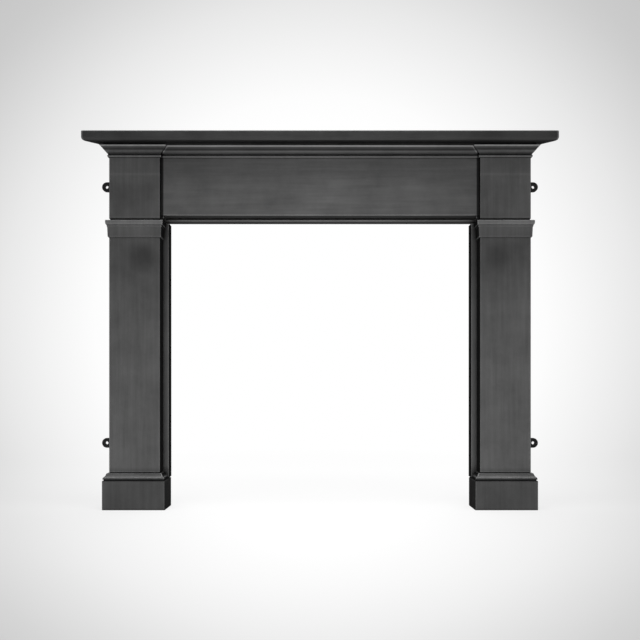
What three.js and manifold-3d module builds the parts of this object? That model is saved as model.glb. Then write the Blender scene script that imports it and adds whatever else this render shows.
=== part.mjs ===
// Cast iron fireplace surround: two pilaster jambs, a frieze between them and a mantel shelf,
// all hollow castings that are open at the back and bolted together from behind.
// Millimetres. +Z is up, +X to the right, -Y towards the room. The origin is on the floor,
// midway across the shelf and midway through its depth.

import * as THREE from 'three';
import { mergeVertices } from 'three/addons/utils/BufferGeometryUtils.js';
import Module from 'manifold-3d';

const wasm = await Module();
wasm.setup();

// ---------------------------------------------------------------- driving sizes

// The opening, and the slips and lintel that border it.
const openingWidth = 914;
const openingHeight = 864;
const slipWidth = 18;
const slipDepth = 40;
const slipTopGap = 6;
const lintelBeadRadius = 4;
const lintelFillet = 1;

// The pilasters.
const pilasterWidth = 151.5;
const pilasterDepth = 85;

// The plinth, and the ogee that carries it back to the shaft over a quirk and a groove.
const plinthHeight = 86.5;
const plinthProjection = 17;
const plinthQuirkHeight = 3.5;
const plinthQuirkDepth = 3.5;
const plinthFilletHeight = 2;
const ogeeHeight = 15.5;
const ogeeLedge = 6;
const baseGrooveHeight = 3;

// The capital: a tapering neck, a fillet, an ovolo and the quirk over it.
const neckHeight = 30;
const neckFootProjection = 3.8;
const neckProjection = 4.8;
const capitalFilletHeight = 6.5;
const capitalFilletProjection = 6.2;
const ovoloHeight = 14;
const ovoloProjection = 10;
const capitalQuirkHeight = 6;

// The frieze and the cornice that runs over it and returns round the pilasters.
const friezeHeight = 181;
const friezeSetback = 8;
const soffitRise = 10;
const astragalHeight = 8;
const astragalProjection = 4.6;
const corniceQuirkHeight = 2;
const corniceFilletHeight = 1;
const corniceFilletProjection = 3.6;
const coveHeight = 12;
const coveProjection = 14.5;
const topMemberHeight = 8.5;
const corniceProjection = 22.5;

// The shelf.
const shelfDepth = 150;
const shelfThickness = 29;
const shelfEndReach = 63.5;
const shelfSideReach = 23;
const shelfNoseRadius = 10;
const shelfTopRadius = 4;
const shelfRimWidth = 14;
const shelfSeatWidth = 12;
const shelfSeatInset = 4;

// Cast walls, webs and edges.
const castWall = 7;
const flangeThickness = 8;
const webThickness = 7;
const webDepth = 26;
const arris = 2.5;
const undercut = 2;
const shelfPlate = 8;

// How far a cut runs past the face it opens, and the steps that a curve is drawn in.
const overcut = 1;
const curveSteps = 6;

// Wall lugs on the outer sides of the jambs.
const lugReach = 42;
const lugWidth = 30;
const lugThickness = 6;
const lugHoleDiameter = 9;
const lugHoleInset = 15;
const lowerLugHeight = 192;
const upperLugDrop = 100;

// Fasteners, and the clearances between pieces that are joined.
const boltDiameter = 8;
const boltHeadAcross = 13;
const boltHeadHeight = 5.3;
const nutHeight = 6.5;
const washerDiameter = 17;
const washerThickness = 1.6;
const boltHoleClearance = 1;
const threadClearance = 0.3;
const boltTail = 4;
const tappedDepth = 18;
const tappedRelief = 3;
const bossDiameter = 26;
const seatGap = 0.3;
const castingJoint = 1.2;
const friezeBoltHeights = [48, 148];
const friezeBoltDepth = 36;
const shelfBoltDepth = 50;
const shelfBoltSpacing = 500;
const friezeWebSpacing = 310;
const jambWebHeights = [300, 560];

// ---------------------------------------------------------------- worked-out places

const wallY = shelfDepth / 2;
const openingHalf = openingWidth / 2;
const pilasterInner = openingHalf + slipWidth;
const pilasterOuter = pilasterInner + pilasterWidth;
const pilasterMiddle = (pilasterInner + pilasterOuter) / 2;
const plinthQuirkTop = plinthHeight + plinthQuirkHeight;
const ogeeBottom = plinthQuirkTop + plinthFilletHeight;
const ogeeTop = ogeeBottom + ogeeHeight;
const plinthTop = ogeeTop + baseGrooveHeight;
const ovoloTop = openingHeight - capitalQuirkHeight;
const ovoloBottom = ovoloTop - ovoloHeight;
const neckTop = ovoloBottom - capitalFilletHeight;
const capitalBottom = neckTop - neckHeight;
const corniceBottom = openingHeight + friezeHeight;
const astragalTop = corniceBottom + astragalHeight;
const corniceQuirkTop = astragalTop + corniceQuirkHeight;
const coveBottom = corniceQuirkTop + corniceFilletHeight;
const coveTop = coveBottom + coveHeight;
const shelfBottom = coveTop + topMemberHeight;
const shelfTop = shelfBottom + shelfThickness;
const upperLugHeight = shelfBottom - upperLugDrop;
const jambTop = shelfBottom - seatGap;
const friezeDepth = pilasterDepth - friezeSetback;
const slipTop = openingHeight - slipTopGap;

// ---------------------------------------------------------------- materials

const castIron = { color: 0x3a3a3c, roughness: 0.46, metalness: 0.55 };
const fastenerSteel = { color: 0x5a5b5e, roughness: 0.5, metalness: 0.85 };

// ---------------------------------------------------------------- solids and meshes

// A closed geometry as a solid that can be joined and cut.
function solid(geometry) {
  const bare = geometry.clone();
  bare.deleteAttribute('normal');
  bare.deleteAttribute('uv');
  const merged = mergeVertices(bare, 1e-4);
  const mesh = new wasm.Mesh({
    numProp: 3,
    vertProperties: new Float32Array(merged.attributes.position.array),
    triVerts: new Uint32Array(merged.index.array),
  });
  return new wasm.Manifold(mesh);
}

function union(solids) {
  return solids.reduce((sum, next) => sum.add(next));
}

// The solid's faces as a flat-shaded geometry.
function facesOf(shape) {
  const mesh = shape.getMesh();
  const geometry = new THREE.BufferGeometry();
  geometry.setAttribute('position', new THREE.BufferAttribute(mesh.vertProperties, 3));
  geometry.setIndex(new THREE.BufferAttribute(mesh.triVerts, 1));
  const flat = geometry.toNonIndexed();
  flat.computeVertexNormals();
  return flat;
}

function piece(name, shape, finish) {
  const mesh = new THREE.Mesh(facesOf(shape), new THREE.MeshStandardMaterial(finish));
  mesh.name = name;
  return mesh;
}

function indexed(positions, indices) {
  const geometry = new THREE.BufferGeometry();
  geometry.setAttribute('position', new THREE.Float32BufferAttribute(positions, 3));
  geometry.setIndex(indices);
  return geometry;
}

// The other hand of a solid, across the middle of the surround: each face is turned over so
// that it still points outwards.
function mirrored(shape) {
  const mesh = shape.getMesh();
  const vertProperties = mesh.vertProperties.map((value, i) => (i % 3 === 0 ? -value : value));
  const triVerts = mesh.triVerts.map((_, i, all) => all[i - (i % 3) + 2 - (i % 3)]);
  return new wasm.Manifold(new wasm.Mesh({ numProp: 3, vertProperties, triVerts }));
}

// ---------------------------------------------------------------- forms

// A block between two values across, two depths from the wall and two heights.
function slab(x, depth, z) {
  const geometry = new THREE.BoxGeometry(x[1] - x[0], depth[1] - depth[0], z[1] - z[0]);
  const middleDepth = (depth[0] + depth[1]) / 2;
  geometry.translate((x[0] + x[1]) / 2, wallY - middleDepth, (z[0] + z[1]) / 2);
  return solid(geometry);
}

// A section drawn as (depth from the wall, height), run from one place across to another.
function runAcross(section, fromX, toX) {
  const geometry = new THREE.ExtrudeGeometry(section, { depth: toX - fromX, bevelEnabled: false });
  const frame = new THREE.Matrix4().makeBasis(
    new THREE.Vector3(0, -1, 0),
    new THREE.Vector3(0, 0, 1),
    new THREE.Vector3(-1, 0, 0),
  );
  geometry.applyMatrix4(frame);
  geometry.translate(toX, wallY, 0);
  return solid(geometry);
}

// A section drawn as (across, depth from the wall), run from one height to another.
function runUp(section, fromZ, toZ) {
  const geometry = new THREE.ExtrudeGeometry(section, { depth: toZ - fromZ, bevelEnabled: false });
  const frame = new THREE.Matrix4().makeBasis(
    new THREE.Vector3(1, 0, 0),
    new THREE.Vector3(0, -1, 0),
    new THREE.Vector3(0, 0, -1),
  );
  geometry.applyMatrix4(frame);
  geometry.translate(0, wallY, toZ);
  return solid(geometry);
}

// An outline drawn as (across, height), run from one depth to another.
function runForward(outline, fromDepth, toDepth) {
  const geometry = new THREE.ExtrudeGeometry(outline, {
    depth: toDepth - fromDepth,
    bevelEnabled: false,
    curveSegments: curveSteps * 2,
  });
  const frame = new THREE.Matrix4().makeBasis(
    new THREE.Vector3(1, 0, 0),
    new THREE.Vector3(0, 0, 1),
    new THREE.Vector3(0, -1, 0),
  );
  geometry.applyMatrix4(frame);
  geometry.translate(0, wallY - fromDepth, 0);
  return solid(geometry);
}

// A round bar or bore across, or upright, between two places on its axis.
function barAcross(radius, fromX, toX, depth, z, sides = 20) {
  const geometry = new THREE.CylinderGeometry(radius, radius, toX - fromX, sides);
  geometry.rotateZ(Math.PI / 2);
  geometry.translate((fromX + toX) / 2, wallY - depth, z);
  return solid(geometry);
}

function barUp(radius, x, depth, fromZ, toZ, sides = 20) {
  const geometry = new THREE.CylinderGeometry(radius, radius, toZ - fromZ, sides);
  geometry.rotateX(Math.PI / 2);
  geometry.translate(x, wallY - depth, (fromZ + toZ) / 2);
  return solid(geometry);
}

// A body stacked from level outlines. Each outline is a loop of [x, depth] corners that runs
// anticlockwise seen from above, and all of them have the same number of corners.
function stacked(levels) {
  const corners = levels[0].loop.length;
  const positions = [];
  const indices = [];
  for (const { z, loop } of levels) {
    for (const [x, depth] of loop) {
      positions.push(x, wallY - depth, z);
    }
  }
  for (let level = 0; level + 1 < levels.length; level += 1) {
    for (let corner = 0; corner < corners; corner += 1) {
      const a = level * corners + corner;
      const b = level * corners + ((corner + 1) % corners);
      indices.push(a, b, b + corners, a, b + corners, a + corners);
    }
  }
  const top = (levels.length - 1) * corners;
  for (let corner = 1; corner + 1 < corners; corner += 1) {
    indices.push(0, corner + 1, corner);
    indices.push(top, top + corner, top + corner + 1);
  }
  return solid(indexed(positions, indices));
}

// ---------------------------------------------------------------- mouldings

// Moulding profiles are drawn as (projection, height) from the floor up.

// A round quarter curve to a new point.
function ovolo(path, out, z) {
  path.quadraticCurveTo(out, path.currentPoint.y, out, z);
}

// The plinth face with its rounded arris, a quirk, a fillet, an ogee up to a narrow ledge, and
// the groove between that and the foot of the shaft.
function drawPlinth(path) {
  const filletOut = plinthProjection - arris / 2;
  const quirkOut = plinthProjection - plinthQuirkDepth;
  const ogeeMiddle = (filletOut + ogeeLedge) / 2;
  const ogeeTurn = ogeeBottom + ogeeHeight * 0.4;
  path.moveTo(plinthProjection, 0);
  path.lineTo(plinthProjection, plinthHeight - arris);
  path.quadraticCurveTo(plinthProjection, plinthHeight, plinthProjection - arris, plinthHeight);
  path.lineTo(quirkOut, plinthHeight);
  path.lineTo(quirkOut, plinthQuirkTop);
  path.lineTo(filletOut, plinthQuirkTop);
  path.lineTo(filletOut, ogeeBottom);
  path.quadraticCurveTo(filletOut, ogeeBottom + ogeeHeight / 4, ogeeMiddle, ogeeTurn);
  path.quadraticCurveTo(ogeeMiddle - arris / 2, ogeeTurn + arris / 2, ogeeLedge, ogeeTop);
  path.lineTo(-undercut, ogeeTop);
  path.lineTo(-undercut, plinthTop);
  path.lineTo(0, plinthTop);
}

// The capital: a chamfered foot, a tapering neck, a fillet, an ovolo and the quirk that parts
// it from the corner block.
function drawCapital(path) {
  path.lineTo(0, capitalBottom);
  path.lineTo(neckFootProjection - arris, capitalBottom);
  path.lineTo(neckFootProjection, capitalBottom + arris);
  path.lineTo(neckProjection, neckTop);
  path.lineTo(capitalFilletProjection, neckTop + arris);
  path.lineTo(capitalFilletProjection, ovoloBottom);
  ovolo(path, ovoloProjection, ovoloTop - arris);
  path.quadraticCurveTo(ovoloProjection, ovoloTop, ovoloProjection - arris, ovoloTop);
  path.lineTo(-undercut, ovoloTop);
  path.lineTo(-undercut, openingHeight);
  path.lineTo(0, openingHeight);
}

// The cornice: an astragal, a quirk, a fillet, a cove that flares to a soffit, and a raking
// top member.
function drawCornice(path, top) {
  path.lineTo(0, corniceBottom);
  ovolo(path, astragalProjection, corniceBottom + astragalHeight / 2);
  path.quadraticCurveTo(astragalProjection, astragalTop, astragalProjection / 3, astragalTop);
  path.lineTo(-undercut / 2, astragalTop);
  path.lineTo(-undercut / 2, corniceQuirkTop);
  path.lineTo(corniceFilletProjection, corniceQuirkTop);
  path.lineTo(corniceFilletProjection, coveBottom);
  path.quadraticCurveTo(corniceFilletProjection, coveBottom + coveHeight / 3, coveProjection, coveTop);
  path.lineTo(corniceProjection, top);
}

// The whole face of a pilaster, from the floor to the underside of the shelf.
function pilasterProfile() {
  const path = new THREE.Path();
  drawPlinth(path);
  drawCapital(path);
  drawCornice(path, jambTop);
  return path.getPoints(curveSteps);
}

// A pilaster's mouldings return down both of its sides and die at the wall. The two front
// corners are slightly rounded, and the clearance makes a larger copy for cutting.
function returnedPilaster(profile, clearance) {
  const round = [[0, 1], [0.3, 0.3], [1, 0]];
  return stacked(profile.map(({ x: projection, y: z }) => {
    const out = projection + clearance;
    const left = pilasterInner - out;
    const right = pilasterOuter + out;
    const front = pilasterDepth + out;
    const leftCorner = round.map(([a, b]) => [left + a * arris, front - b * arris]);
    const rightCorner = round.map(([a, b]) => [right - a * arris, front - b * arris]).reverse();
    return { z, loop: [[left, 0], ...leftCorner, ...rightCorner, [right, 0]] };
  }));
}

// ---------------------------------------------------------------- jambs

// The hollow behind the pilaster's face. It opens at the back and at the floor, and widens
// behind the plinth and under the cornice. Its levels are [wall offset, height].
function jambHollow() {
  const plinthOut = plinthProjection - castWall;
  const levels = [
    [plinthOut, -overcut],
    [plinthOut, plinthHeight - castWall],
    [-castWall, plinthTop - castWall],
    [-castWall, corniceBottom + castWall],
    [castWall, jambTop - flangeThickness],
  ];
  return stacked(levels.map(([out, z]) => {
    const left = pilasterInner - out;
    const right = pilasterOuter + out;
    const front = pilasterDepth + out;
    return { z, loop: [[left, -overcut], [left, front], [right, front], [right, -overcut]] };
  }));
}

// Level webs that stiffen the long face from behind.
function jambWebs() {
  return jambWebHeights.map((z) => slab(
    [pilasterInner + castWall / 2, pilasterOuter - castWall / 2],
    [pilasterDepth - castWall - webDepth, pilasterDepth - castWall / 2],
    [z, z + webThickness],
  ));
}

// The slip that borders the opening: a narrow face and a return to the wall.
function slip() {
  const section = new THREE.Shape();
  section.moveTo(openingHalf, 0);
  section.lineTo(openingHalf + castWall, 0);
  section.lineTo(openingHalf + castWall, slipDepth - castWall);
  section.lineTo(pilasterInner + castWall / 2, slipDepth - castWall);
  section.lineTo(pilasterInner + castWall / 2, slipDepth);
  section.lineTo(openingHalf + arris, slipDepth);
  section.quadraticCurveTo(openingHalf, slipDepth, openingHalf, slipDepth - arris);
  section.closePath();
  return runUp(section, plinthQuirkTop, slipTop);
}

// A flat ear against the wall, with a rounded end and a screw hole.
function wallLug(z) {
  const tip = pilasterOuter + lugReach;
  const half = lugWidth / 2;
  const root = pilasterOuter - castWall / 2;
  const outline = new THREE.Shape();
  outline.moveTo(root, z - half);
  outline.lineTo(tip - half, z - half);
  outline.absarc(tip - half, z, half, -Math.PI / 2, Math.PI / 2, false);
  outline.lineTo(root, z + half);
  outline.closePath();
  const hole = new THREE.Path();
  hole.absarc(tip - lugHoleInset, z, lugHoleDiameter / 2, 0, 2 * Math.PI, true);
  outline.holes.push(hole);
  return runForward(outline, 0, lugThickness);
}

// Clear bores for the frieze bolts, through the jamb's inner side.
function friezeBoltBores() {
  const radius = (boltDiameter + boltHoleClearance) / 2;
  const from = pilasterInner - castWall * 3;
  const to = pilasterInner + castWall * 2;
  return friezeBoltHeights.map((rise) => (
    barAcross(radius, from, to, friezeBoltDepth, openingHeight + rise)
  ));
}

// Clear bores for the shelf bolts, through a top flange.
function shelfBoltBore(x) {
  const radius = (boltDiameter + boltHoleClearance) / 2;
  return barUp(radius, x, shelfBoltDepth, jambTop - flangeThickness * 2, jambTop + overcut);
}

function jamb() {
  const casting = union([
    returnedPilaster(pilasterProfile(), 0).subtract(jambHollow()),
    ...jambWebs(),
    slip(),
    wallLug(lowerLugHeight),
    wallLug(upperLugHeight),
  ]);
  return casting
    .subtract(union([...friezeBoltBores(), shelfBoltBore(pilasterMiddle)]));
}

// ---------------------------------------------------------------- frieze

// The frieze in section: cornice, face, soffit and beaded lintel in front, open behind. The top
// flange reaches back just past the washers of the shelf bolts.
function friezeSection() {
  const flangeBack = shelfBoltDepth - washerDiameter / 2 - washerThickness;
  const soffit = openingHeight + soffitRise;
  const lintelFace = slipDepth - lintelBeadRadius;
  const inside = friezeDepth - castWall;
  const face = new THREE.Path();
  drawCornice(face.moveTo(0, soffit + arris), jambTop);
  const section = new THREE.Shape();
  section.moveTo(0, openingHeight);
  section.lineTo(lintelFace, openingHeight);
  section.absarc(
    lintelFace, openingHeight + lintelBeadRadius, lintelBeadRadius,
    -Math.PI / 2, Math.PI / 2, false,
  );
  section.lineTo(lintelFace - lintelFillet, openingHeight + lintelBeadRadius * 2);
  section.lineTo(lintelFace - lintelFillet, soffit);
  section.lineTo(friezeDepth - arris, soffit);
  section.quadraticCurveTo(friezeDepth, soffit, friezeDepth, soffit + arris);
  for (const point of face.getPoints(curveSteps)) {
    section.lineTo(friezeDepth + point.x, point.y);
  }
  section.lineTo(flangeBack, jambTop);
  section.lineTo(flangeBack, jambTop - flangeThickness);
  section.lineTo(friezeDepth + castWall, jambTop - flangeThickness);
  section.lineTo(inside, corniceBottom + castWall);
  section.lineTo(inside, soffit + castWall);
  section.lineTo(lintelFace - castWall, soffit + castWall);
  section.lineTo(lintelFace - castWall, openingHeight + castWall);
  section.lineTo(0, openingHeight + castWall);
  section.closePath();
  return section;
}

// Upright webs behind the face.
function friezeWebs() {
  return [-friezeWebSpacing / 2, friezeWebSpacing / 2].map((x) => slab(
    [x - webThickness / 2, x + webThickness / 2],
    [friezeDepth - castWall - webDepth, friezeDepth - castWall / 2],
    [openingHeight + soffitRise + castWall / 2, jambTop - flangeThickness / 2],
  ));
}

// End flanges that bolt to the jambs.
function friezeEndFlange() {
  return slab(
    [pilasterInner - castingJoint - flangeThickness, pilasterInner],
    [0, friezeDepth - castWall / 2],
    [openingHeight + castWall / 2, jambTop],
  );
}

function frieze() {
  const jambClearance = returnedPilaster(pilasterProfile(), castingJoint);
  const bores = union(friezeBoltBores());
  const body = union([
    runAcross(friezeSection(), -pilasterInner, pilasterInner),
    ...friezeWebs(),
    friezeEndFlange(),
    mirrored(friezeEndFlange()),
  ]);
  return body
    .subtract(jambClearance)
    .subtract(mirrored(jambClearance))
    .subtract(bores)
    .subtract(mirrored(bores))
    .subtract(shelfBoltBore(-shelfBoltSpacing / 2))
    .subtract(shelfBoltBore(shelfBoltSpacing / 2));
}

// ---------------------------------------------------------------- shelf

// The shelf's outline in plan. Its sides rise flush with the cornice, and its front corners
// run out on the diagonal to the nose. The inset follows the round of the nose.
function shelfLoop(inset) {
  const side = pilasterOuter + shelfSideReach;
  const cornerDepth = shelfDepth - (shelfEndReach - shelfSideReach);
  const tip = pilasterOuter + shelfEndReach - inset;
  const front = shelfDepth - inset;
  return [
    [-side, 0], [-side, cornerDepth], [-tip, front],
    [tip, front], [side, cornerDepth], [side, 0],
  ];
}

function shelfBody() {
  const nose = new THREE.Path();
  nose.moveTo(shelfNoseRadius, shelfBottom);
  nose.quadraticCurveTo(0, shelfBottom, 0, shelfBottom + shelfNoseRadius);
  nose.lineTo(0, shelfTop - shelfTopRadius);
  nose.quadraticCurveTo(0, shelfTop, shelfTopRadius, shelfTop);
  return stacked(nose.getPoints(curveSteps).map(({ x, y }) => ({ z: y, loop: shelfLoop(x) })));
}

// The channel under the overhang, between the nose and the rib that seats on the cornice. Its
// ends keep a wall along the mitred ends of the shelf.
function shelfChannel() {
  const seatFront = pilasterDepth + corniceProjection - shelfSeatInset;
  const noseBack = shelfDepth - shelfRimWidth;
  const mitre = pilasterOuter + shelfEndReach - shelfDepth - castWall * Math.SQRT2;
  const outline = new THREE.Shape();
  outline.moveTo(-mitre - seatFront, seatFront);
  outline.lineTo(mitre + seatFront, seatFront);
  outline.lineTo(mitre + noseBack, noseBack);
  outline.lineTo(-mitre - noseBack, noseBack);
  outline.closePath();
  return runUp(outline, shelfBottom - overcut, shelfTop - shelfPlate);
}

function shelfBoltPlaces() {
  return [-pilasterMiddle, -shelfBoltSpacing / 2, shelfBoltSpacing / 2, pilasterMiddle];
}

// The hollow over the jambs and frieze, in bays between the seating ribs that carry the bosses.
function shelfBays() {
  const back = flangeThickness;
  const front = pilasterDepth + corniceProjection - shelfSeatInset - shelfSeatWidth;
  const outer = pilasterOuter + corniceProjection - shelfSeatInset - shelfSeatWidth;
  const ribs = [-outer, ...shelfBoltPlaces(), outer];
  return ribs.slice(1).map((right, bay) => slab(
    [ribs[bay] + webThickness / 2, right - webThickness / 2],
    [back, front],
    [shelfBottom - overcut, shelfTop - shelfPlate],
  ));
}

function shelf() {
  const hollow = shelfBody().subtract(union([shelfChannel(), ...shelfBays()]));
  const bosses = shelfBoltPlaces().map((x) => (
    barUp(bossDiameter / 2, x, shelfBoltDepth, shelfBottom, shelfTop - shelfPlate / 2, 24)
  ));
  const tapped = shelfBoltPlaces().map((x) => barUp(
    boltDiameter / 2 + threadClearance, x, shelfBoltDepth,
    shelfBottom - overcut, shelfBottom + tappedDepth,
  ));
  return union([hollow, ...bosses]).subtract(union(tapped));
}

// ---------------------------------------------------------------- fasteners

// Fasteners are made upright on the axis through the origin, seated at zero, and then placed.

function hexPrism(across, height) {
  const geometry = new THREE.CylinderGeometry(across / Math.sqrt(3), across / Math.sqrt(3), height, 6);
  geometry.rotateX(Math.PI / 2);
  geometry.translate(0, 0, height / 2);
  return geometry;
}

// A hexagon bolt that hangs its head below zero and sends its shank up.
function bolt(shankLength) {
  const head = hexPrism(boltHeadAcross, boltHeadHeight).translate(0, 0, -boltHeadHeight);
  const radius = boltDiameter / 2;
  const chamfer = radius / 4;
  const profile = [
    [0, -boltHeadHeight / 2],
    [radius, -boltHeadHeight / 2],
    [radius, shankLength - chamfer],
    [radius - chamfer, shankLength],
    [0, shankLength],
  ].map(([r, z]) => new THREE.Vector2(r, z));
  const shank = new THREE.LatheGeometry(profile, 16);
  shank.rotateX(Math.PI / 2);
  return solid(head).add(solid(shank));
}

function ring(outer, inner, height) {
  const profile = [[inner, 0], [outer, 0], [outer, height], [inner, height], [inner, 0]]
    .map(([r, z]) => new THREE.Vector2(r, z));
  const geometry = new THREE.LatheGeometry(profile, 20);
  geometry.rotateX(Math.PI / 2);
  return solid(geometry);
}

function washer() {
  return ring(washerDiameter / 2, (boltDiameter + boltHoleClearance) / 2, washerThickness);
}

function nut() {
  const bore = new THREE.CylinderGeometry(1, 1, nutHeight * 3, 16);
  const radius = boltDiameter / 2 + threadClearance;
  bore.scale(radius, 1, radius);
  bore.rotateX(Math.PI / 2);
  return solid(hexPrism(boltHeadAcross, nutHeight)).subtract(solid(bore));
}

// ---------------------------------------------------------------- assembly

const surround = new THREE.Group();

const rightJamb = jamb();
surround.add(piece('right_jamb', rightJamb, castIron));
surround.add(piece('left_jamb', mirrored(rightJamb), castIron));
surround.add(piece('frieze_panel', frieze(), castIron));
surround.add(piece('mantel_shelf', shelf(), castIron));

// Bolts join the frieze's end flanges to the jambs: the head is behind the frieze, and the
// washer and nut are inside the jamb.
const headSeat = pilasterInner - castingJoint - flangeThickness - seatGap;
const washerSeat = pilasterInner + castWall + seatGap;
const nutSeat = washerSeat + washerThickness + seatGap;
const friezeBoltLength = nutSeat + nutHeight + boltTail - headSeat;

for (const [hand, side] of [['left', -1], ['right', 1]]) {
  for (const [level, rise] of [['lower', friezeBoltHeights[0]], ['upper', friezeBoltHeights[1]]]) {
    const parts = [
      ['bolt', bolt(friezeBoltLength), headSeat],
      ['washer', washer(), washerSeat],
      ['nut', nut(), nutSeat],
    ];
    for (const [kind, shape, seat] of parts) {
      const mesh = piece(`frieze_${kind}_${hand}_${level}`, shape, fastenerSteel);
      mesh.rotation.y = side * Math.PI / 2;
      mesh.position.set(side * seat, wallY - friezeBoltDepth, openingHeight + rise);
      surround.add(mesh);
    }
  }
}

// Bolts hold the shelf down: they rise through the top flanges into its tapped bosses.
const shelfWasherSeat = jambTop - flangeThickness - seatGap - washerThickness;
const shelfHeadSeat = shelfWasherSeat - seatGap;
const shelfBoltLength = shelfBottom + tappedDepth - tappedRelief - shelfHeadSeat;
const shelfBoltNames = ['left_end', 'left_middle', 'right_middle', 'right_end'];

shelfBoltPlaces().forEach((x, place) => {
  const boltMesh = piece(`shelf_bolt_${shelfBoltNames[place]}`, bolt(shelfBoltLength), fastenerSteel);
  boltMesh.position.set(x, wallY - shelfBoltDepth, shelfHeadSeat);
  surround.add(boltMesh);
  const washerMesh = piece(`shelf_washer_${shelfBoltNames[place]}`, washer(), fastenerSteel);
  washerMesh.position.set(x, wallY - shelfBoltDepth, shelfWasherSeat);
  surround.add(washerMesh);
});

export default surround;
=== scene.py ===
"""Finishes, studio and camera for a cast iron fireplace surround."""

import math

import bmesh
import bpy
from bpy.props import FloatProperty, FloatVectorProperty, PointerProperty
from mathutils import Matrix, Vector


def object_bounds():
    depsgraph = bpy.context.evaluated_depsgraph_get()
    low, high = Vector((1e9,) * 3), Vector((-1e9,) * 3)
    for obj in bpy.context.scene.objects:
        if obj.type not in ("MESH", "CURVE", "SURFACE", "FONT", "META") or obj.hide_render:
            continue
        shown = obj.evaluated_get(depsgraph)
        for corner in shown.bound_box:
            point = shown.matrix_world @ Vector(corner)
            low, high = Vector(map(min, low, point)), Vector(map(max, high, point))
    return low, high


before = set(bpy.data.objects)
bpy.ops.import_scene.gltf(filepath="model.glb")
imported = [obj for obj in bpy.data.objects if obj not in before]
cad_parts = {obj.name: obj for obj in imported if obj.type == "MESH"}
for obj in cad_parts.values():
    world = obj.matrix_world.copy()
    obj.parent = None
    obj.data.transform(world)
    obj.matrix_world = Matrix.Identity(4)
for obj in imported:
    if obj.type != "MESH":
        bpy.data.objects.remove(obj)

bl_info = {
    "name": "Cast iron fireplace surround",
    "version": (1, 0, 0),
    "blender": (4, 5, 0),
    "location": "View3D > Sidebar > Surround",
    "description": "Dresses a fireplace surround in graphite polish and lights it in a studio",
    "category": "Object",
}

MM = 0.001

CASTINGS = ("right_jamb", "left_jamb", "frieze_panel", "mantel_shelf")
FIXINGS = tuple(sorted(set(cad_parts) - set(CASTINGS)))

CAD_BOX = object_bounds()
WALL = CAD_BOX[1].y
TOP = CAD_BOX[1].z

# Painted shade and light in the tone of the polish, by height in metres up a jamb, and by
# distance from the middle along the frieze and the shelf: painted shade on the plinth, the
# shaft's head and the blocks, a painted highlight across the capital, painted shade towards
# the ends, and dark painted shade at the frieze's ends beside the joints. The peak at 0.996 is
# a faint streak across the corner blocks.
JAMB_SHADING = ((0.0, 0.54), (0.08, 0.62), (0.09, 0.6), (0.112, 0.62), (0.125, 0.86), (0.4, 0.82),
            (0.6, 0.76), (0.7, 0.64), (0.79, 0.6), (0.838, 0.72), (0.845, 1.0), (0.86, 1.0),
            (0.87, 0.66), (0.96, 0.63), (0.99, 0.76), (0.996, 0.91), (1.0, 0.8))
FRIEZE_SHADING = ((0.0, 0.93), (0.2, 0.87), (0.4655, 0.76), (0.4685, 0.1), (0.475, 0.08))
SHELF_SHADING = ((0.0, 1.0), (0.3, 0.9), (0.5, 0.76), (0.69, 0.72))

# How much the brush's streaks are drawn out along a casting, as scales of the noise.
UPRIGHT = (1, 1, 0.06)
LEVEL = (0.06, 1, 1)

# A darker patch at the head of each shaft: its middle, its reach, the shares of that reach where
# it starts to fade and is gone, and how much tone it leaves in its middle.
SHAFT_HEAD_PATCHES = tuple(((hand * 528 * MM, -10 * MM, 752 * MM), (44 * MM, 30 * MM, 48 * MM))
                     for hand in (-1, 1))
PATCH_FADE = (0.2, 1.3)
PATCH_TONE = 0.62

# Painted shade as dull blacking in bands of the mouldings: the foot and the throat of the
# cornice's cove, and on a jamb the plinth's quirk and the quirk over the capital too. Each has
# its lowest and highest height, and how dull and dark it is.
CORNICE_SHADE_BANDS = ((1053.4 * MM, 1057.4 * MM, 0.92), (1064.8 * MM, 1070.2 * MM, 0.78))
JAMB_SHADE_BANDS = ((86 * MM, 91.8 * MM, 0.88), (857.5 * MM, 864.5 * MM, 0.92), *CORNICE_SHADE_BANDS)
HOLLOW_EDGE = 1.6 * MM
PLINTH_TOP = 86.5 * MM

# Masks and tones of the graphite: two values of what each is read from, and what it gives at
# them. Dullness runs from 0, burnished, to 1, blacking only, and its blacking is painted shade
# except behind and on the lugs.
GRAPHITE_SPANS = {
    # painted shade as dullness, by how open a point is to what stands near it, and to what
    # stands further off
    "quirk": (0.82, 0.42, 0, 1),
    "hollow": (0.5, 0.25, 0, 1),
    # painted shade as dullness, by how squarely a face turns to the opening, and its share by
    # height
    "inward": (-0.5, -0.9, 0, 1),
    "plinth": (PLINTH_TOP, PLINTH_TOP + HOLLOW_EDGE, 0.9, 1),
    # painted shade as dullness, by how squarely a face turns down; dullness by how squarely it
    # turns to the wall
    "under": (-0.85, -0.97, 0, 0.75),
    "behind": (0.3, 0.6, 0, 0.9),
    # dullness of the wall lugs, and the share of bare skin in a hollow, by depth
    "lug": (WALL - 8 * MM, WALL - 6 * MM, 0, 0.85),
    "inside": (0, 5 * MM, 0, 1),
    # tones and roughness, by noise, and the tone of an arris, by how open it is within: a
    # painted highlight on arrises and small mouldings, partly a real burnish
    "cloud": (0.3, 0.7, 0.82, 1.16),
    "rub": (0.3, 0.7, 0.91, 1.09),
    "satin": (0.3, 0.7, 0.36, 0.48),
    "arris": (0.95, 0.45, 1, 2.6),
}
BURNISHED_METAL = 0.85
DULL_ROUGHNESS = 0.85

# The casting's sand: the height of its grains, their strength under the burnish, and how much
# stronger they are where the face is dull.
GRAIN_HEIGHT = 0.3 * MM
GRAIN_BURNISHED = 0.12
GRAIN_DULL = 0.5

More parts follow.
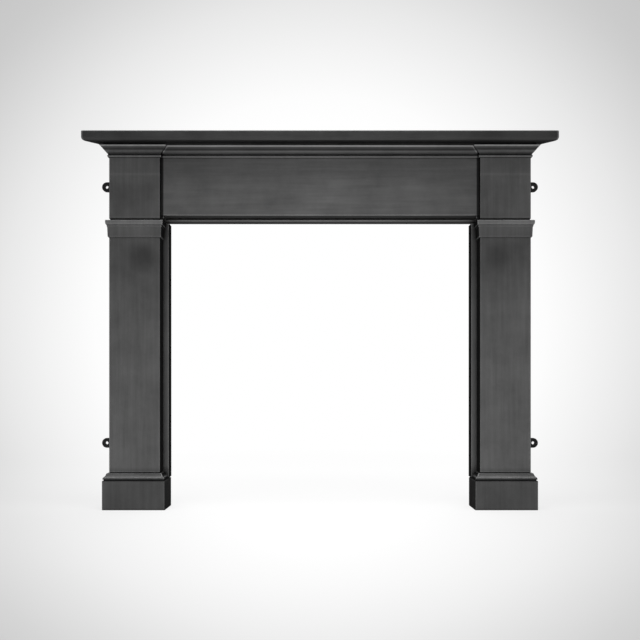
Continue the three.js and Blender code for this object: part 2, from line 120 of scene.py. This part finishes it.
# How the paper falls off: the middle and the reach of the bright pool, as slopes of the view
# from the camera's stand, and the paper's colour at shares of that reach. The paper is white
# round the sides and behind the camera: the falloff starts and is whole at two slopes ahead.
FALLOFF_MIDDLE = (0, 0, 0.083)
FALLOFF_REACH = 0.5625
FALLOFF = ((0.44, "#ffffff"), (0.5, "#fdfdfd"), (0.6, "#f4f4f4"), (0.707, "#e9e9e9"),
           (0.833, "#d8d8d8"), (0.942, "#c9c9c9"), (1.0, "#c3c3c3"))
FALLOFF_AHEAD = (0.55, 0.87)
LEAST_SLOPE = 0.02

# How far below the feet the floor paper lies, and the distances over which its shadows fade.
PAPER_DROP = 0.3 * MM
SHADOW_FADE = (0.9, 2.4)

# How bright the room is, by shares of a half turn from straight in front, and by height from
# the horizon (0) to overhead (1), and the slopes over which reflections change to the paper.
ROOM_FRONT = ((0.0, 1.0), (0.05, 0.9), (0.09, 0.5), (0.13, 0.28), (0.2, 0.19), (0.35, 0.24),
              (0.5, 0.36), (1.0, 1.0))
ROOM_OVERHEAD = ((0.0, 0.0), (0.6, 0.05), (0.85, 0.6), (1.0, 1.0))
ROOM_EDGE = (0.0, 0.1)

SOFTBOX_PLACE = (0, -0.9, 3.0)
SOFTBOX_AIM = (0, -0.1, 0.5)
SOFTBOX_SIZE = (3.2, 1.4)


# ---------------------------------------------------------------- colours and nodes

def linear(hex_colour):
    """An sRGB hex colour as linear red, green, blue and alpha."""
    values = []
    for place in (1, 3, 5):
        part = int(hex_colour[place:place + 2], 16) / 255
        values.append(part / 12.92 if part <= 0.04045 else ((part + 0.055) / 1.055) ** 2.4)
    return (*values, 1.0)


def add_node(tree, kind, settings=None, inputs=None, links=None):
    """Adds a node, sets its properties and inputs, and links other nodes' outputs to inputs."""
    node = tree.nodes.new(kind)
    for name, value in (settings or {}).items():
        setattr(node, name, value)
    for name, value in (inputs or {}).items():
        node.inputs[name].default_value = value
    for name, output in (links or {}).items():
        tree.links.new(output, node.inputs[name])
    return node


def grey_ramp(tree, place, levels):
    """A grey value that passes through the levels given at their places, in rising order."""
    ramp = add_node(tree, "ShaderNodeValToRGB", links={"Fac": place})
    stops = ramp.color_ramp.elements
    stops.remove(stops[0])
    stops[0].position = levels[0][0]
    for at, _ in levels[1:]:
        stops.new(at)
    for stop, (_, level) in zip(stops, levels):
        stop.color = (level, level, level, 1)
    return ramp.outputs["Color"]


def new_material(name):
    material = bpy.data.materials.new(name)
    material.use_nodes = True
    material.node_tree.nodes.clear()
    return material


# ---------------------------------------------------------------- sizes and colours

class SurroundFinish(bpy.types.PropertyGroup):
    polish_colour: FloatVectorProperty(
        name="Graphite", description="Burnished graphite on the open faces",
        subtype="COLOR", size=4, min=0, max=1, default=linear("#6b6b6b"))
    # The shelf's colour is darker than the polish on the open faces: painted shade on the shelf.
    shelf_shaded_colour: FloatVectorProperty(
        name="Shelf graphite", description="Graphite on the shelf, brushed and not burnished",
        subtype="COLOR", size=4, min=0, max=1, default=linear("#484848"))
    # Blacking serves as painted shade in quirks, hollows, bands of the mouldings, on undersides
    # and on returns to the opening, and as real dull blacking behind.
    blacking_and_shade_colour: FloatVectorProperty(
        name="Blacking", description="Unburnished blacking in quirks, on undersides and behind",
        subtype="COLOR", size=4, min=0, max=1, default=linear("#151515"))
    skin_colour: FloatVectorProperty(
        name="Casting skin", description="Bare grey skin of the castings behind",
        subtype="COLOR", size=4, min=0, max=1, default=linear("#3d3c3b"))
    steel_colour: FloatVectorProperty(
        name="Fixings", description="Dark zinc plate on the bolts, washers and nuts",
        subtype="COLOR", size=4, min=0, max=1, default=linear("#77797c"))
    sand_grain: FloatProperty(
        name="Sand grain", description="Width of a grain of the casting skin",
        subtype="DISTANCE", unit="LENGTH", min=0.0002, default=1.6 * MM)
    cloud_width: FloatProperty(
        name="Polish cloud", description="Width of a cloud of unevenly rubbed polish",
        subtype="DISTANCE", unit="LENGTH", min=0.01, default=110 * MM)
    rub_width: FloatProperty(
        name="Rub", description="Width of a streak left by the polishing brush",
        subtype="DISTANCE", unit="LENGTH", min=0.001, default=12 * MM)
    # The quirk reach sets the painted shade in quirks.
    quirk_reach: FloatProperty(
        name="Quirk reach", description="How near a face must be to keep the brush out",
        subtype="DISTANCE", unit="LENGTH", min=0.001, default=10 * MM)
    # The hollow reach sets the painted shade in hollows, and where the bare skin shows.
    hollow_reach: FloatProperty(
        name="Hollow reach", description="How near the walls of an unpolished hollow must be",
        subtype="DISTANCE", unit="LENGTH", min=0.01, default=90 * MM)
    # The arris reach sets the width of a painted highlight on arrises, partly a real burnish.
    arris_reach: FloatProperty(
        name="Arris reach", description="Width of the brighter rub along an arris",
        subtype="DISTANCE", unit="LENGTH", min=0.0005, default=4 * MM)


class SurroundStudio(bpy.types.PropertyGroup):
    camera_distance: FloatProperty(
        name="Camera distance", description="From the wall plane",
        subtype="DISTANCE", unit="LENGTH", min=0.5, default=2460 * MM)
    camera_height: FloatProperty(
        name="Camera height", description="Above the floor",
        subtype="DISTANCE", unit="LENGTH", min=0, default=361.8 * MM)
    camera_lens: FloatProperty(
        name="Lens", description="Focal length on a 36 mm sensor", min=10, default=45)
    camera_rise: FloatProperty(
        name="Rise", description="Upward shift of the lens, as a share of the frame",
        min=-0.5, max=0.5, default=0.1055)
    backdrop_colour: FloatVectorProperty(
        name="Paper", description="The lit share of the pale paper under the surround",
        subtype="COLOR", size=4, min=0, max=1, default=linear("#f2f2f2"))
    paper_reach: FloatProperty(
        name="Paper reach", description="From the middle of the floor paper to its edge",
        subtype="DISTANCE", unit="LENGTH", min=2, default=30)
    shadow_share: FloatProperty(
        name="Shadow share", description="Share of the floor paper that is lit and shaded",
        subtype="FACTOR", min=0, max=1, default=0.2)
    room_strength: FloatProperty(
        name="Room light", description="Strength of the light from the room",
        min=0, default=1.3)
    softbox_power: FloatProperty(
        name="Softbox", description="Power of the overhead softbox",
        subtype="POWER", unit="POWER", min=0, default=70)


# ---------------------------------------------------------------- finishes

def graphite_polished_iron(name, finish, colour, grain_way, shading_axis, shading_levels, hollows):
    """Sand-cast grey iron under graphite polish, brushed on and burnished where a brush reaches.

    The graphite gives the open faces a grey satin sheen in soft clouds, with faint rubs along
    the casting. Painted shade and light set its tone by height or along the casting, and a
    painted highlight, partly a real burnish, brings the arrises and small mouldings up brighter.
    Quirks, hollows, undersides, bands of the mouldings and the returns that face the opening
    take dark dull blacking as painted shade, and the backs show the grey skin of the casting.
    """
    material = new_material(name)
    tree = material.node_tree
    coords = add_node(tree, "ShaderNodeTexCoord").outputs
    place = coords["Object"]
    spot = add_node(tree, "ShaderNodeSeparateXYZ", links={"Vector": place}).outputs
    facing = add_node(tree, "ShaderNodeSeparateXYZ", links={"Vector": coords["Normal"]}).outputs
    hand = add_node(tree, "ShaderNodeMath", {"operation": "SIGN"},
                    links={0: spot["X"]}).outputs["Value"]
    outward = add_node(tree, "ShaderNodeMath", {"operation": "MULTIPLY"},
                       links={0: facing["X"], 1: hand}).outputs["Value"]

    # How open a point is: outside to a near face and to the walls of a hollow, and inside to
    # the far side of an arris.
    opens = {}
    for key, reach, settings in (
            ("quirk", finish.quirk_reach, {"samples": 8}),
            ("hollow", finish.hollow_reach, {"samples": 8}),
            ("arris", finish.arris_reach, {"samples": 6, "inside": True})):
        opens[key] = add_node(tree, "ShaderNodeAmbientOcclusion", settings,
                              {"Distance": reach}).outputs["AO"]

    # Clouds and streaks of the burnish, and the grains of the casting's sand.
    streaks = add_node(tree, "ShaderNodeMapping", inputs={"Scale": grain_way},
                       links={"Vector": place}).outputs["Vector"]
    noises = {}
    for key, width, detail, fineness, point in (
            ("clouds", finish.cloud_width, 5, 0.62, place),
            ("rubs", finish.rub_width, 3, 0.6, streaks),
            ("grain", finish.sand_grain, 2, 0.6, place)):
        noises[key] = add_node(tree, "ShaderNodeTexNoise",
                               inputs={"Scale": 1 / width, "Detail": detail,
                                       "Roughness": fineness},
                               links={"Vector": point}).outputs["Fac"]

    spans = {"quirk": opens["quirk"], "hollow": opens["hollow"], "inward": outward,
             "plinth": spot["Z"], "under": facing["Z"], "behind": facing["Y"],
             "lug": spot["Y"], "inside": spot["Y"], "cloud": noises["clouds"],
             "rub": noises["rubs"], "satin": noises["clouds"], "arris": opens["arris"]}
    for key, source in spans.items():
        start, end, at_start, at_end = GRAPHITE_SPANS[key]
        spans[key] = add_node(tree, "ShaderNodeMapRange",
                              inputs={"From Min": start, "From Max": end,
                                      "To Min": at_start, "To Max": at_end},
                              links={"Value": source}).outputs["Result"]

    # Painted shade as dark dull blacking in quirks, hollows, bands of the mouldings, on
    # undersides and on returns to the opening, and real dullness behind and on the lugs; and
    # where the bare skin shows.
    levels = [(0.0, 0.0)]
    for low, high, level in hollows:
        levels += [((low - HOLLOW_EDGE) / TOP, 0.0), (low / TOP, level),
                   (high / TOP, level), ((high + HOLLOW_EDGE) / TOP, 0.0)]
    height = add_node(tree, "ShaderNodeMath", {"operation": "DIVIDE"}, {1: TOP},
                      {0: spot["Z"]}).outputs["Value"]
    moulding_shade = grey_ramp(tree, height, levels)
    inward = add_node(tree, "ShaderNodeMath", {"operation": "MULTIPLY"},
                      links={0: spans["inward"], 1: spans["plinth"]}).outputs["Value"]
    dull = spans["quirk"]
    for mask in (spans["hollow"], inward, spans["under"], spans["behind"], spans["lug"],
                 moulding_shade):
        dull = add_node(tree, "ShaderNodeMath", {"operation": "MAXIMUM", "use_clamp": True},
                        links={0: dull, 1: mask}).outputs["Value"]
    inside = add_node(tree, "ShaderNodeMath", {"operation": "MULTIPLY"},
                      links={0: spans["inside"], 1: spans["hollow"]}).outputs["Value"]
    bare = add_node(tree, "ShaderNodeMath", {"operation": "MAXIMUM"},
                    links={0: spans["behind"], 1: inside}).outputs["Value"]

    # The tone: painted shade and light along the casting, random clouds and rubs, a painted
    # highlight on arrises that is partly a real burnish, and darker patches at the shafts'
    # heads;
    # and the colour over it all, with blacking that is mostly painted shade.
    length = add_node(tree, "ShaderNodeMath", {"operation": "ABSOLUTE"},
                      links={0: spot[shading_axis]}).outputs["Value"]
    tones = [spans["cloud"], spans["rub"], spans["arris"]]
    for middle, reach in SHAFT_HEAD_PATCHES:
        offset = add_node(tree, "ShaderNodeVectorMath", {"operation": "SUBTRACT"},
                          {1: middle}, {0: place}).outputs["Vector"]
        offset = add_node(tree, "ShaderNodeVectorMath", {"operation": "DIVIDE"},
                          {1: reach}, {0: offset}).outputs["Vector"]
        offset = add_node(tree, "ShaderNodeVectorMath", {"operation": "LENGTH"},
                          links={0: offset}).outputs["Value"]
        tones.append(add_node(tree, "ShaderNodeMapRange", {"interpolation_type": "SMOOTHSTEP"},
                              {"From Min": PATCH_FADE[0], "From Max": PATCH_FADE[1],
                               "To Min": PATCH_TONE, "To Max": 1},
                              {"Value": offset}).outputs["Result"])
    tone = grey_ramp(tree, length, shading_levels)
    for part in tones:
        tone = add_node(tree, "ShaderNodeMath", {"operation": "MULTIPLY"},
                        links={0: tone, 1: part}).outputs["Value"]
    base = add_node(tree, "ShaderNodeVectorMath", {"operation": "SCALE"},
                    {"Vector": colour[:3]}, {"Scale": tone}).outputs["Vector"]
    # The blacking over the tone is painted shade where the dullness comes from quirks, hollows,
    # undersides, returns and bands of the mouldings.
    for cover, share in ((finish.blacking_and_shade_colour, dull), (finish.skin_colour, bare)):
        base = add_node(tree, "ShaderNodeMix", {"data_type": "RGBA"}, {7: cover},
                        {0: share, 6: base}).outputs[2]

    # The sheen, and grains of sand that show through more where the face is dull.
    relief = add_node(tree, "ShaderNodeMath", {"operation": "MULTIPLY_ADD"},
                      {1: GRAIN_DULL, 2: GRAIN_BURNISHED}, {0: dull}).outputs["Value"]
    bump = add_node(tree, "ShaderNodeBump", inputs={"Distance": GRAIN_HEIGHT},
                    links={"Height": noises["grain"], "Strength": relief}).outputs["Normal"]
    roughness = add_node(tree, "ShaderNodeMix", {"data_type": "FLOAT"}, {3: DULL_ROUGHNESS},
                         {0: dull, 2: spans["satin"]}).outputs[0]
    metallic = add_node(tree, "ShaderNodeMath", {"operation": "MULTIPLY_ADD"},
                        {1: -BURNISHED_METAL, 2: BURNISHED_METAL}, {0: dull}).outputs["Value"]
    shader = add_node(tree, "ShaderNodeBsdfPrincipled", inputs={"Specular IOR Level": 0.0},
                      links={"Base Color": base, "Roughness": roughness, "Metallic": metallic,
                             "Normal": bump})
    add_node(tree, "ShaderNodeOutputMaterial", links={"Surface": shader.outputs["BSDF"]})
    return material


def zinc_plated_steel(finish):
    """Steel under dark zinc plate, which picks the fixings out of the dull hollows in grey."""
    material = new_material("steel_dark_zinc_plated")
    tree = material.node_tree
    place = add_node(tree, "ShaderNodeTexCoord").outputs["Object"]
    spangle = add_node(tree, "ShaderNodeTexNoise", inputs={"Scale": 1 / (4 * MM), "Detail": 2},
                       links={"Vector": place}).outputs["Fac"]
    roughness = add_node(tree, "ShaderNodeMapRange",
                         inputs={"To Min": 0.3, "To Max": 0.5},
                         links={"Value": spangle}).outputs["Result"]
    shader = add_node(tree, "ShaderNodeBsdfPrincipled",
                      inputs={"Metallic": 1.0, "Base Color": finish.steel_colour},
                      links={"Roughness": roughness})
    add_node(tree, "ShaderNodeOutputMaterial", links={"Surface": shader.outputs["BSDF"]})
    return material


def coat(names, material):
    for name in names:
        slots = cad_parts[name].data.materials
        slots.clear()
        slots.append(material)


class SURROUND_OT_castings(bpy.types.Operator):
    """Give the four castings their graphite polish"""
    bl_idname = "surround.castings"
    bl_label = "Polish the castings"

    def execute(self, context):
        finish = context.scene.surround_finish
        coat(("right_jamb", "left_jamb"), graphite_polished_iron(
            "cast_iron_graphite_burnished_upright", finish, finish.polish_colour,
            UPRIGHT, "Z", JAMB_SHADING, JAMB_SHADE_BANDS))
        coat(("frieze_panel",), graphite_polished_iron(
            "cast_iron_graphite_burnished_level", finish, finish.polish_colour,
            LEVEL, "X", FRIEZE_SHADING, CORNICE_SHADE_BANDS))
        # The shelf's darker colour and its darkening towards the ends are painted shade.
        coat(("mantel_shelf",), graphite_polished_iron(
            "cast_iron_graphite_shaded", finish, finish.shelf_shaded_colour,
            LEVEL, "X", SHELF_SHADING, ()))
        return {"FINISHED"}


class SURROUND_OT_fixings(bpy.types.Operator):
    """Give the bolts, washers and nuts their zinc plate"""
    bl_idname = "surround.fixings"
    bl_label = "Plate the fixings"

    def execute(self, context):
        coat(FIXINGS, zinc_plated_steel(context.scene.surround_finish))
        return {"FINISHED"}


# ---------------------------------------------------------------- studio

def paper_falloff(tree, ray):
    """The paper's colour along a ray from the camera's stand: white, and darker far out."""
    ray = add_node(tree, "ShaderNodeVectorMath", {"operation": "NORMALIZE"},
                   links={0: ray}).outputs["Vector"]
    slope = add_node(tree, "ShaderNodeSeparateXYZ", links={"Vector": ray}).outputs["Y"]
    ahead = add_node(tree, "ShaderNodeMapRange",
                     inputs={"From Min": FALLOFF_AHEAD[0], "From Max": FALLOFF_AHEAD[1],
                             "To Min": 0, "To Max": 1},
                     links={"Value": slope}).outputs["Result"]
    away = add_node(tree, "ShaderNodeMath", {"operation": "ABSOLUTE"},
                    links={0: slope}).outputs["Value"]
    away = add_node(tree, "ShaderNodeMath", {"operation": "MAXIMUM"}, {1: LEAST_SLOPE},
                    {0: away}).outputs["Value"]
    share = add_node(tree, "ShaderNodeMath", {"operation": "DIVIDE"}, {0: 1.0},
                     {1: away}).outputs["Value"]
    flat = add_node(tree, "ShaderNodeVectorMath", {"operation": "SCALE"},
                    links={"Vector": ray, "Scale": share}).outputs["Vector"]
    flat = add_node(tree, "ShaderNodeVectorMath", {"operation": "MULTIPLY"}, {1: (1, 0, 1)},
                    {0: flat}).outputs["Vector"]
    reach = add_node(tree, "ShaderNodeVectorMath", {"operation": "DISTANCE"},
                     {1: FALLOFF_MIDDLE}, {0: flat}).outputs["Value"]
    place = add_node(tree, "ShaderNodeMath", {"operation": "DIVIDE"}, {1: FALLOFF_REACH},
                     {0: reach}).outputs["Value"]
    greys = grey_ramp(tree, place, [(at, linear(grey)[0]) for at, grey in FALLOFF])
    return add_node(tree, "ShaderNodeMix", {"data_type": "RGBA"}, {6: (1, 1, 1, 1)},
                    {0: ahead, 7: greys}).outputs[2]


def seen_rays(tree):
    """Rays that show the paper itself: from the camera, and by reflection or through glass."""
    rays = add_node(tree, "ShaderNodeLightPath").outputs
    glossy = add_node(tree, "ShaderNodeMath", {"operation": "MAXIMUM"},
                      links={0: rays["Is Glossy Ray"],
                             1: rays["Is Transmission Ray"]}).outputs["Value"]
    return rays["Is Camera Ray"], glossy


def paper_material(studio):
    """Matt pale paper under the surround, in its own colour, with a share lit and shaded."""
    material = new_material("background_paper")
    tree = material.node_tree
    camera_ray, glossy_ray = seen_rays(tree)
    seen = add_node(tree, "ShaderNodeMath", {"operation": "MAXIMUM"},
                    links={0: camera_ray, 1: glossy_ray}).outputs["Value"]
    place = add_node(tree, "ShaderNodeTexCoord").outputs["Object"]
    stand = (0, WALL - studio.camera_distance, studio.camera_height)
    ray = add_node(tree, "ShaderNodeVectorMath", {"operation": "SUBTRACT"}, {1: stand},
                   {0: place}).outputs["Vector"]
    distance = add_node(tree, "ShaderNodeVectorMath", {"operation": "LENGTH"},
                        links={0: place}).outputs["Value"]
    own = add_node(tree, "ShaderNodeMapRange",
                   inputs={"From Min": SHADOW_FADE[0], "From Max": SHADOW_FADE[1],
                           "To Min": 1 - studio.shadow_share, "To Max": 1},
                   links={"Value": distance}).outputs["Result"]
    share = add_node(tree, "ShaderNodeMath", {"operation": "MULTIPLY"},
                     links={0: own, 1: seen}).outputs["Value"]
    lit = add_node(tree, "ShaderNodeBsdfDiffuse", inputs={"Color": studio.backdrop_colour})
    glow = add_node(tree, "ShaderNodeEmission", links={"Color": paper_falloff(tree, ray)})
    mix = add_node(tree, "ShaderNodeMixShader",
                   links={0: share, 1: lit.outputs["BSDF"], 2: glow.outputs["Emission"]})
    add_node(tree, "ShaderNodeOutputMaterial", links={"Surface": mix.outputs["Shader"]})
    return material


def studio_world(studio):
    """The studio round the surround: pale paper behind it, and a dim room in front.

    The room glows straight in front and overhead and is dim between, which shades the upright
    faces from the middle of the surround to its ends and its shelf.
    """
    world = bpy.data.worlds.new("studio")
    world.use_nodes = True
    tree = world.node_tree
    tree.nodes.clear()
    camera_ray, glossy_ray = seen_rays(tree)
    ray = add_node(tree, "ShaderNodeTexCoord").outputs["Generated"]
    way = add_node(tree, "ShaderNodeSeparateXYZ", links={"Vector": ray}).outputs
    turn = add_node(tree, "ShaderNodeMath", {"operation": "MULTIPLY"}, {1: -1},
                    {0: way["Y"]}).outputs["Value"]
    turn = add_node(tree, "ShaderNodeMath", {"operation": "ARCCOSINE"},
                    links={0: turn}).outputs["Value"]
    turn = add_node(tree, "ShaderNodeMath", {"operation": "DIVIDE"}, {1: math.pi},
                    {0: turn}).outputs["Value"]
    room = add_node(tree, "ShaderNodeVectorMath", {"operation": "MAXIMUM"},
                    links={0: grey_ramp(tree, turn, ROOM_FRONT),
                           1: grey_ramp(tree, way["Z"], ROOM_OVERHEAD)}).outputs["Vector"]
    behind = add_node(tree, "ShaderNodeMapRange",
                      inputs={"From Min": ROOM_EDGE[0], "From Max": ROOM_EDGE[1],
                              "To Min": 0, "To Max": 1},
                      links={"Value": way["Y"]}).outputs["Result"]
    paper_ray = add_node(tree, "ShaderNodeMath", {"operation": "MULTIPLY"},
                         links={0: behind, 1: glossy_ray}).outputs["Value"]
    seen = add_node(tree, "ShaderNodeMath", {"operation": "MAXIMUM"},
                    links={0: camera_ray, 1: paper_ray}).outputs["Value"]
    light = add_node(tree, "ShaderNodeBackground", inputs={"Strength": studio.room_strength},
                     links={"Color": room})
    paper = add_node(tree, "ShaderNodeBackground", inputs={"Strength": 1.0},
                     links={"Color": paper_falloff(tree, ray)})
    mix = add_node(tree, "ShaderNodeMixShader",
                   links={0: seen, 1: light.outputs["Background"],
                          2: paper.outputs["Background"]})
    add_node(tree, "ShaderNodeOutputWorld", links={"Surface": mix.outputs["Shader"]})
    return world


class SURROUND_OT_studio(bpy.types.Operator):
    """Lay the floor paper and hang the softbox"""
    bl_idname = "surround.studio"
    bl_label = "Build the studio"

    def execute(self, context):
        studio = context.scene.surround_studio
        sheet = bmesh.new()
        bmesh.ops.create_grid(sheet, x_segments=1, y_segments=1, size=studio.paper_reach)
        bmesh.ops.translate(sheet, verts=sheet.verts, vec=(0, 0, -PAPER_DROP))
        mesh = bpy.data.meshes.new("background_paper")
        sheet.to_mesh(mesh)
        sheet.free()
        mesh.materials.append(paper_material(studio))
        paper = bpy.data.objects.new("background_paper", mesh)
        context.scene.collection.objects.link(paper)

        context.scene.world = studio_world(studio)
        light = bpy.data.lights.new("overhead_softbox", "AREA")
        light.shape = "RECTANGLE"
        light.size, light.size_y = SOFTBOX_SIZE
        light.energy = studio.softbox_power
        lamp = bpy.data.objects.new("overhead_softbox", light)
        context.scene.collection.objects.link(lamp)
        lamp.location = SOFTBOX_PLACE
        aim = Vector(SOFTBOX_AIM) - Vector(SOFTBOX_PLACE)
        lamp.rotation_euler = aim.to_track_quat("-Z", "Y").to_euler()
        return {"FINISHED"}


class SURROUND_OT_camera(bpy.types.Operator):
    """Set the camera level, square to the surround, with the lens raised"""
    bl_idname = "surround.camera"
    bl_label = "Set the camera"

    def execute(self, context):
        studio = context.scene.surround_studio
        lens = bpy.data.cameras.new("camera")
        lens.sensor_width = 36
        lens.lens = studio.camera_lens
        lens.shift_y = studio.camera_rise
        camera = bpy.data.objects.new("camera", lens)
        context.scene.collection.objects.link(camera)
        camera.location = (0, WALL - studio.camera_distance, studio.camera_height)
        camera.rotation_euler = (math.radians(90), 0, 0)
        context.scene.camera = camera
        return {"FINISHED"}


class SURROUND_PT_panel(bpy.types.Panel):
    """Sizes, colours and steps of the surround"""
    bl_idname = "SURROUND_PT_panel"
    bl_label = "Fireplace surround"
    bl_space_type = "VIEW_3D"
    bl_region_type = "UI"
    bl_category = "Surround"

    def draw(self, context):
        for group in (context.scene.surround_finish, context.scene.surround_studio):
            box = self.layout.box()
            for name in group.__annotations__:
                box.prop(group, name)
        for step in STEPS:
            self.layout.operator(step.bl_idname)


GROUPS = (SurroundFinish, SurroundStudio)
STEPS = (SURROUND_OT_castings, SURROUND_OT_fixings, SURROUND_OT_studio, SURROUND_OT_camera)


def register():
    for cls in (*GROUPS, *STEPS, SURROUND_PT_panel):
        bpy.utils.register_class(cls)
    bpy.types.Scene.surround_finish = PointerProperty(type=SurroundFinish)
    bpy.types.Scene.surround_studio = PointerProperty(type=SurroundStudio)


def unregister():
    del bpy.types.Scene.surround_finish
    del bpy.types.Scene.surround_studio
    for cls in reversed((*GROUPS, *STEPS, SURROUND_PT_panel)):
        bpy.utils.unregister_class(cls)


def main():
    register()
    bpy.ops.surround.castings()
    bpy.ops.surround.fixings()
    bpy.ops.surround.studio()
    bpy.ops.surround.camera()
    bpy.context.scene.view_settings.view_transform = "Standard"


if __name__ == "__main__":
    main()
